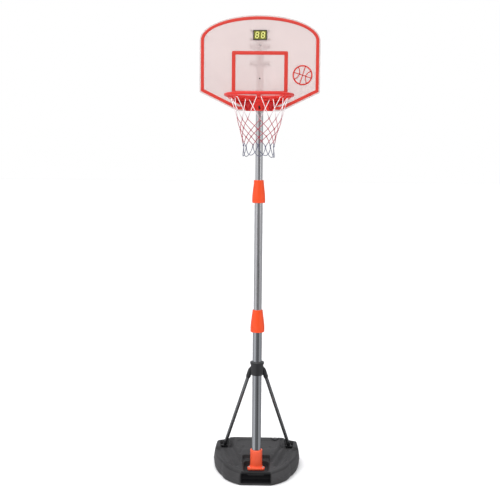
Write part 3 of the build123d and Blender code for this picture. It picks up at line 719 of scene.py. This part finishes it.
def buildCollar():
    low, high = collarTop - collar["footDrop"], collarTop - collar["topDrop"]
    step = high - collar["lipHeight"]
    profile = [(collar["bore"], low), (collar["foot"] - 0.001, low), (collar["foot"], low + 0.001),
               (collar["waist"], step - 0.001), (collar["lip"] - 0.001, step), (collar["lip"], step + 0.001),
               (collar["lip"], high - 0.0015), (collar["lip"] - 0.0015, high), (collar["bore"], high)]
    shapes = [latheShape(profile)]
    for way in (-1, 1):
        start, end = (np.array(collar[key]) * [way, 1, 1] for key in ("armStart", "armEnd"))
        down = (end - start) / np.linalg.norm(end - start)
        reach = np.array(collar["armReach"])[:, None]
        shapes.append(tubeShape(start + down * reach, collar["arm"] * np.array(collar["armTaper"]), 24))
    newPiece("strutCollar", joined(shapes), blackPlastic, "base",
             replacing=("strut_collar",))


buildCollar()

# the two twist locks: a straight fluted grip below and a long taper above
sleeves = {
    "lower_sleeve": {"body": "lower_lock", "mouth": 0.0148, "topRadius": 0.0184},
    "upper_sleeve": {"body": "upper_lock", "mouth": 0.0131, "topRadius": 0.0172},
}
grip = {"band": 0.020, "wall": 0.006, "bulge": 1.15, "flutes": 20, "fluteDepth": 0.0006, "mouthDepth": 0.018,
        "coneDepth": 0.027}


def buildSleeve(nodeName, facts):
    low, high = boxCorners(nodeName)
    foot, bottom, top = high[0], low[2], high[2]
    bandTop = bottom + grip["band"]
    inside = foot - grip["wall"]
    mouth, topRadius = facts["mouth"], facts["topRadius"]
    taper = [(foot + (topRadius - foot) * s ** grip["bulge"], bandTop + (top - 0.003 - bandTop) * s)
             for s in np.linspace(0, 1, 9)[1:-1]]
    profile = [(inside, bottom), (foot - 0.0015, bottom), (foot - 0.0004, bottom + 0.0006),
               (foot, bottom + 0.0018), (foot, bottom + 0.004), (foot, bandTop - 0.004),
               (foot - 0.0001, bandTop), *taper,
               (topRadius, top - 0.003), (topRadius, top - 0.001), (topRadius - 0.001, top), (mouth, top),
               (mouth, top - grip["mouthDepth"]), (inside, top - grip["coneDepth"])]
    flutes = (grip["flutes"], grip["fluteDepth"], bottom + 0.003, bandTop - 0.003)
    newPiece(nodeName + "Grip", latheShape(profile, 240, flutes), orangePlastic, facts["body"],
             replacing=(nodeName,))


for nodeName, facts in sleeves.items():
    buildSleeve(nodeName, facts)
print("socket, collar and locks ready")

# the rim: a round ring with moulded hooks inside it, and the shelf that meets the board
rim = {"wire": 0.0052, "hooks": 7, "hookWire": 0.0011, "hookHalf": 0.0058, "hookEdge": 0.001,
       "shelfHalf": 0.098, "shelfLow": 0.0065, "shelfHigh": 0.0005, "shelfSoft": 0.0012, "shelfEdge": 0.0008,
       "hookPath": ((-0.003, -0.003), (-0.007, -0.0085), (-0.0115, -0.0115), (-0.0165, -0.0118),
                    (-0.0200, -0.0095), (-0.0208, -0.0055))}
hookTurns = np.radians(np.arange(rim["hooks"]) * 360 / rim["hooks"] - 90)


# a point at some radius and height for each angle round the rim's axis
def roundRim(radius, height, turn):
    return np.stack([rimCentre[0] + radius * np.cos(turn), rimCentre[1] + radius * np.sin(turn),
                     height + 0 * turn], -1)


def buildRim():
    turn = np.linspace(0, 2 * np.pi, 144, endpoint=False)
    shapes = [tubeShape(roundRim(ringRadius, rimCentre[2], turn), rim["wire"], 20, closed=True)]
    # each hook is a bent strip: its path in radius and height, thickened and drawn out sideways
    steps = np.linspace(0, len(rim["hookPath"]) - 1, 16)
    path = np.array(rim["hookPath"])
    bend = np.column_stack([np.interp(steps, np.arange(len(path)), path[:, axis]) for axis in (0, 1)])
    along = np.gradient(bend, axis=0)
    across = np.column_stack([-along[:, 1], along[:, 0]]) / np.linalg.norm(along, axis=1, keepdims=True)
    half = rim["hookHalf"]
    for angle in hookTurns:
        section = [(way, side * (half - rim["hookEdge"] * abs(way))) for way, side in (
            (-1, -1), (-1, 1), (0, 1.1), (1, 1), (1, -1), (0, -1.1))]
        loops = [roundRim(ringRadius + bend[:, 0] + way * across[:, 0] * rim["hookWire"],
                          rimCentre[2] + bend[:, 1] + way * across[:, 1] * rim["hookWire"],
                          angle + side / (ringRadius + bend[:, 0])) for way, side in section]
        shapes.append(gridShape(np.stack(loops, 1), wrapCols=True, caps=True))
    newPiece("rimRing", joined(shapes), redPlastic, "board", replacing=("rim",))

    # the shelf runs from the ring's inside edge back to the board, in slices across its width
    inner, low, high = ringRadius - 0.001, rimCentre[2] - rim["shelfLow"], rimCentre[2] - rim["shelfHigh"]
    x = np.linspace(-rim["shelfHalf"], rim["shelfHalf"], 61)
    front = rimCentre[1] + np.sqrt(inner ** 2 - x ** 2)
    back = np.full(len(x), boardFront)
    soft = rim["shelfSoft"]
    section = [(front, low + soft), (front + soft, low), (back, low), (back, high - soft),
               (front + soft, high - soft), (front, high - 2 * soft)]
    loops = np.stack([np.column_stack([x, y, np.full(len(x), z)]) for y, z in section], 1)
    newPiece("rimShelf", gridShape(loops, wrapCols=True, caps=True), redPlastic, "board",
             bevel=rim["shelfEdge"])


buildRim()

# the skirt below the rim: a thin plate with a rail, slanting ribs and a block on each side of the sensor
bracket = {"thin": 0.0044, "deep": 0.0072, "half": 0.046, "wing": 0.094, "rail": 0.007, "sensor": 0.0122,
           "sensorTop": 0.0262, "hood": 0.022, "inside": 0.016, "flank": (0.008, 0.014), "rib": 0.004,
           "ribTop": 0.011, "ribInside": (0.005, 0.018), "block": 0.036, "blockTop": (0.024, 0.004),
           "edge": 0.0007}


def buildBracket():
    foot, top = boardFoot, rimCentre[2] - rim["shelfLow"]
    half, wing, rail = bracket["half"], bracket["wing"], top - bracket["rail"]
    thin, deep = boardFront - bracket["thin"], boardFront - bracket["deep"]
    sensor, sensorTop = bracket["sensor"], foot + bracket["sensorTop"]
    flank = (half + bracket["flank"][0], foot + bracket["flank"][1])
    ribInside = (half + bracket["ribInside"][0], foot + bracket["ribInside"][1])
    blockTop = (bracket["blockTop"][0], sensorTop + bracket["blockTop"][1])
    hood = bracket["hood"]
    shapes = [plateShape([(wing, top), (-wing, top), (-wing, rail), (wing, rail)], deep, boardFront),
              plateShape([(-sensor, sensorTop), (sensor, sensorTop), (hood, rail), (-hood, rail)], deep,
                         boardFront)]
    backs = []
    for way in (-1, 1):
        x = np.array([way, 1])
        backs.append(plateShape(x * [(sensor, foot), (half, foot), flank, (wing, rail),
                                     (bracket["inside"], rail), (sensor, sensorTop)], thin, boardFront))
        rib = [(half - bracket["rib"], foot), (half, foot), flank, (wing, rail),
               (wing - bracket["ribTop"], rail), ribInside]
        block = [(sensor, foot), (bracket["block"], foot), blockTop, (sensor, sensorTop)]
        shapes += [plateShape(x * outline, deep, boardFront) for outline in (rib, block)]
    # the sunk backs wear the rim's red darkened as painted shade
    newPiece("skirtBacks", joined(backs), redPlasticPaintedShade, "board")
    newPiece("rimSkirt", joined(shapes), redPlastic, "board", replacing=("rim_bracket",),
             bevel=bracket["edge"])


buildBracket()
print("rim ready")

# the knotted net: rings of knots below the hooks, half a step apart, with loops hanging from the last ring
net = {
    "cord": 0.00115, "seed": 7, "hookRadius": 0.0940, "hookDrop": 0.0098, "hookSpread": 0.0068,
    "rings": ((0.074, 1.286), (0.0645, 1.254), (0.057, 1.227), (0.050, 1.199)),
    "turnSpread": 3.0, "heightSpread": 0.0035, "radiusSpread": 0.0018, "bow": 0.0022, "loopDrop": 0.036,
    "loopOut": 0.005, "loopFullness": 0.62, "knot": (0.0023, 0.0023, 0.0031), "wrapRadius": 0.0021,
    "wrapCord": 0.0009,
}


def buildNet():
    random = np.random.default_rng(net["seed"])
    step = 2 * np.pi / rim["hooks"]
    hookHeight = rimCentre[2] - net["hookDrop"]
    knots = [roundRim(net["hookRadius"], hookHeight, hookTurns)]
    turns = [hookTurns]
    for level, (radius, height) in enumerate(net["rings"], 1):
        spread = random.uniform(-1, 1, (3, rim["hooks"]))
        turn = hookTurns + step / 2 * (level % 2) + np.radians(net["turnSpread"]) * spread[0]
        knots.append(roundRim(radius + net["radiusSpread"] * spread[1],
                              height + net["heightSpread"] * spread[2], turn))
        turns.append(turn)

    # strands cross from each ring to the next, bowed a little outwards; from a hook they leave both its sides
    sideways = net["hookSpread"] / net["hookRadius"]
    right, left = (roundRim(net["hookRadius"], hookHeight, hookTurns + way * sideways) for way in (1, -1))
    starts = [right, left, right]
    ends = [knots[1], np.roll(knots[1], 1, 0), left]
    for level in range(1, len(knots) - 1):
        other = np.roll(knots[level + 1], 1 if level % 2 == 0 else -1, 0)
        starts += [knots[level], knots[level]]
        ends += [knots[level + 1], other]
    starts, ends = np.concatenate(starts), np.concatenate(ends)
    t = np.linspace(0, 1, 10)[None, :, None]
    paths = starts[:, None] * (1 - t) + ends[:, None] * t
    away = paths - rimCentre
    away[..., 2] = 0
    away /= np.linalg.norm(away, axis=2, keepdims=True)
    bow = random.uniform(0.0, net["bow"], (len(starts), 1, 1))
    paths = paths + away * bow * np.sin(np.pi * t)
    shapes = [tubeShape(path, net["cord"], 7) for path in paths]

    # each loop hangs between two neighbours of the last ring
    t = np.linspace(0, 1, 22)
    lowest, lastTurns = knots[-1], turns[-1]
    for place in range(rim["hooks"]):
        after = (place + 1) % rim["hooks"]
        turn = lastTurns[place] + t * ((lastTurns[after] - lastTurns[place]) % (2 * np.pi))
        hang = np.sin(np.pi * t) ** net["loopFullness"]
        drop = net["loopDrop"] * random.uniform(0.86, 1.05)
        height = lowest[place, 2] * (1 - t) + lowest[after, 2] * t - drop * hang
        radius = net["rings"][-1][0] + net["loopOut"] * random.uniform(0.3, 1.2) * hang
        shapes.append(tubeShape(roundRim(radius, height, turn), net["cord"], 7))

    # every knot is an egg with one upright turn of cord round it
    wrap = np.linspace(0, 2 * np.pi, 14, endpoint=False)[:, None]
    for knot in np.concatenate(knots[1:]):
        shapes.append(ballShape(knot, net["knot"]))
        tilt = random.uniform(0, np.pi)
        across = np.array([math.cos(tilt), math.sin(tilt), 0])
        loop = knot + net["wrapRadius"] * (np.cos(wrap) * across + np.sin(wrap) * np.array([0, 0, 1.0]))
        shapes.append(tubeShape(loop, net["wrapCord"], 6, closed=True))
    newPiece("knottedNet", joined(shapes), cordMaterial, "board", replacing=("net",))


buildNet()
print("net ready")

# red markings on the panel's face: a border along its edge, the shooter's box and a plain ball
marks = {
    "proud": 0.0005, "borderOuter": 0.0044, "borderInner": 0.0152, "bottomHalf": 0.077, "cornerRise": 0.063,
    "sideRise": 0.237, "boxHalf": 0.0957, "boxLow": 1.3738, "boxHigh": 1.520, "boxStripe": 0.0124,
    "boxCorner": 0.005,
    "ball": (0.146, 1.440), "ballRadius": 0.034, "ballLine": 0.0048, "ballLean": -18, "seamShare": 0.62,
    "seamBend": 0.36, "seamReach": 0.70,
}


# the panel's outline set in by a width: flat foot, sloping corners, arched top
def panelOutline(inset):
    half = boardHigh[0]
    slope = math.atan2(marks["cornerRise"], half - marks["bottomHalf"])
    foot = (marks["bottomHalf"] - inset * math.tan(slope / 2), boardFoot + inset)
    corner = (half - inset, boardFoot + marks["cornerRise"] + inset * math.tan(math.radians(45) - slope / 2))
    sideTop = boardFoot + marks["sideRise"]
    arch = boardHigh[2] - sideTop - inset
    turn = np.linspace(0, np.pi, 97)
    arc = np.column_stack([(half - inset) * np.cos(turn), sideTop + arch * np.sin(turn)])
    return np.vstack([[(-foot[0], foot[1]), foot, corner], arc, [(-corner[0], corner[1])]])


def buildMarks():
    front, back = boardFront - marks["proud"], boardFront
    border = bandShape(panelOutline(marks["borderOuter"]), panelOutline(marks["borderInner"]), front, back)
    newPiece("borderStripe", border, redPaint, "board")
    centre = (0, (marks["boxLow"] + marks["boxHigh"]) / 2)
    half = (marks["boxHigh"] - marks["boxLow"]) / 2
    outer = roundRectangle(marks["boxHalf"], half, marks["boxCorner"], centre)
    inner = roundRectangle(marks["boxHalf"] - marks["boxStripe"], half - marks["boxStripe"],
                           marks["boxCorner"] * 0.5, centre)
    newPiece("shooterBox", bandShape(outer, inner, front, back), redPaint, "board")

    # the ball: a ring, two straight seams and two curved ones
    x, z = marks["ball"]
    radius, line = marks["ballRadius"], marks["ballLine"]
    turn = np.linspace(0, 2 * np.pi, 64, endpoint=False)
    circle = np.column_stack([np.cos(turn), np.sin(turn)])
    shapes = [bandShape(circle * radius + (x, z), circle * (radius - line) + (x, z), front, back)]
    t = np.linspace(-1, 1, 15)
    reach = radius - line / 2
    lean = math.radians(marks["ballLean"])
    turned = np.array([[math.cos(lean), math.sin(lean)], [-math.sin(lean), math.cos(lean)]])
    bend, rise = reach * marks["seamBend"] * (1 + t ** 2), t * reach * marks["seamReach"]
    for seam in ((t * reach, 0 * t), (0 * t, t * reach), (bend, rise), (-bend, rise)):
        path = np.column_stack(seam) @ turned + (x, z)
        shapes.append(strokeShape(path, line * marks["seamShare"], front, back))
    newPiece("ballMark", joined(shapes), redPaint, "board")


buildMarks()

# the display's frame and its two digits of seven slanting bars each
display = {"frame": 0.0012, "frameProud": 0.0016, "frameSunk": 0.0002, "corner": 0.002, "bar": 0.0022,
           "gap": 0.0006, "digitHalf": (0.0048, 0.0096), "digitX": (-0.0100, 0.0098), "slant": 0.10,
           "proud": 0.0004}


def buildDisplay():
    middle = (windowLow + windowHigh) / 2
    halfWide, halfHigh = windowHigh[0], (windowHigh[2] - windowLow[2]) / 2
    centre = (0, middle[2])
    frame, corner = display["frame"], display["corner"]
    outer = roundRectangle(halfWide + frame, halfHigh + frame, corner, centre)
    inner = roundRectangle(halfWide - frame, halfHigh - frame, corner / 2, centre)
    band = bandShape(outer, inner, boardFront - display["frameProud"], windowLow[1] + display["frameSunk"])
    newPiece("displayFrame", band, blackPlastic, "board")
    wide, high = display["digitHalf"]
    half, gap = display["bar"] / 2, display["gap"]
    front = windowLow[1] - display["proud"]
    shapes = []
    for digitX in display["digitX"]:
        across = [((-wide, z), (wide, z)) for z in (-high, 0, high)]
        upright = [((x, low), (x, low + high)) for x in (-wide, wide) for low in (-high, 0)]
        for start, end in across + upright:
            start, end = np.array(start), np.array(end)
            along = (end - start) / np.linalg.norm(end - start)
            side = np.array([-along[1], along[0]])
            first, last = start + along * gap, end - along * gap
            bar = np.array([first, first + (along + side) * half, last + (side - along) * half, last,
                            last - (along + side) * half, first + (along - side) * half])
            bar[:, 0] += bar[:, 1] * display["slant"] + digitX
            shapes.append(plateShape(bar + (0, middle[2]), front, windowLow[1]))
    newPiece("displayDigits", joined(shapes), digitGlow, "board", smooth=False)


buildDisplay()

# two small round things on the panel's middle line: a pale light above the box, a dark screw inside it
buttons = {"lamp": 1.540, "screw": 1.428, "radius": 0.0026, "proud": 0.0012, "edge": 0.0005}


def buildButton(name, key, material):
    turn = np.linspace(0, 2 * np.pi, 28, endpoint=False)
    outline = np.column_stack([np.cos(turn), np.sin(turn)]) * buttons["radius"] + (0, buttons[key])
    newPiece(name, plateShape(outline, boardFront - buttons["proud"], boardFront), material, "board",
             bevel=buttons["edge"])


buildButton("panelLamp", "lamp", zincScrews)
buildButton("panelScrew", "screw", blackPlastic)
print("markings and display ready")


# a pale floor that, mirrored in the steel tubes, carries on the studio walls' bands
def floorPaint():
    material = startMaterial("floorPaint", studio["floorColour"], 0.9)
    tree = material.node_tree
    mirrored = tree.nodes.new("ShaderNodeEmission")
    mirrored.inputs["Strength"].default_value = studio["mirrorStrength"]
    geometry = tree.nodes.new("ShaderNodeNewGeometry")
    path = tree.nodes.new("ShaderNodeLightPath")
    choose = tree.nodes.new("ShaderNodeMixShader")
    link = tree.links.new
    link(bandsAround(tree, geometry.outputs["Position"]), mirrored.inputs["Color"])
    link(path.outputs["Is Glossy Ray"], choose.inputs["Fac"])
    link(tree.nodes["Principled BSDF"].outputs["BSDF"], choose.inputs[1])
    link(mirrored.outputs["Emission"], choose.inputs[2])
    link(choose.outputs["Shader"], tree.nodes["Material Output"].inputs["Surface"])
    return material


half = studio["floorHalf"]
corners = np.array([(-half, -half, 0), (half, -half, 0), (half, half, 0), (-half, half, 0)])
floor = newPiece("floor", (corners, [[0, 1, 2, 3]]), floorPaint(), smooth=False)
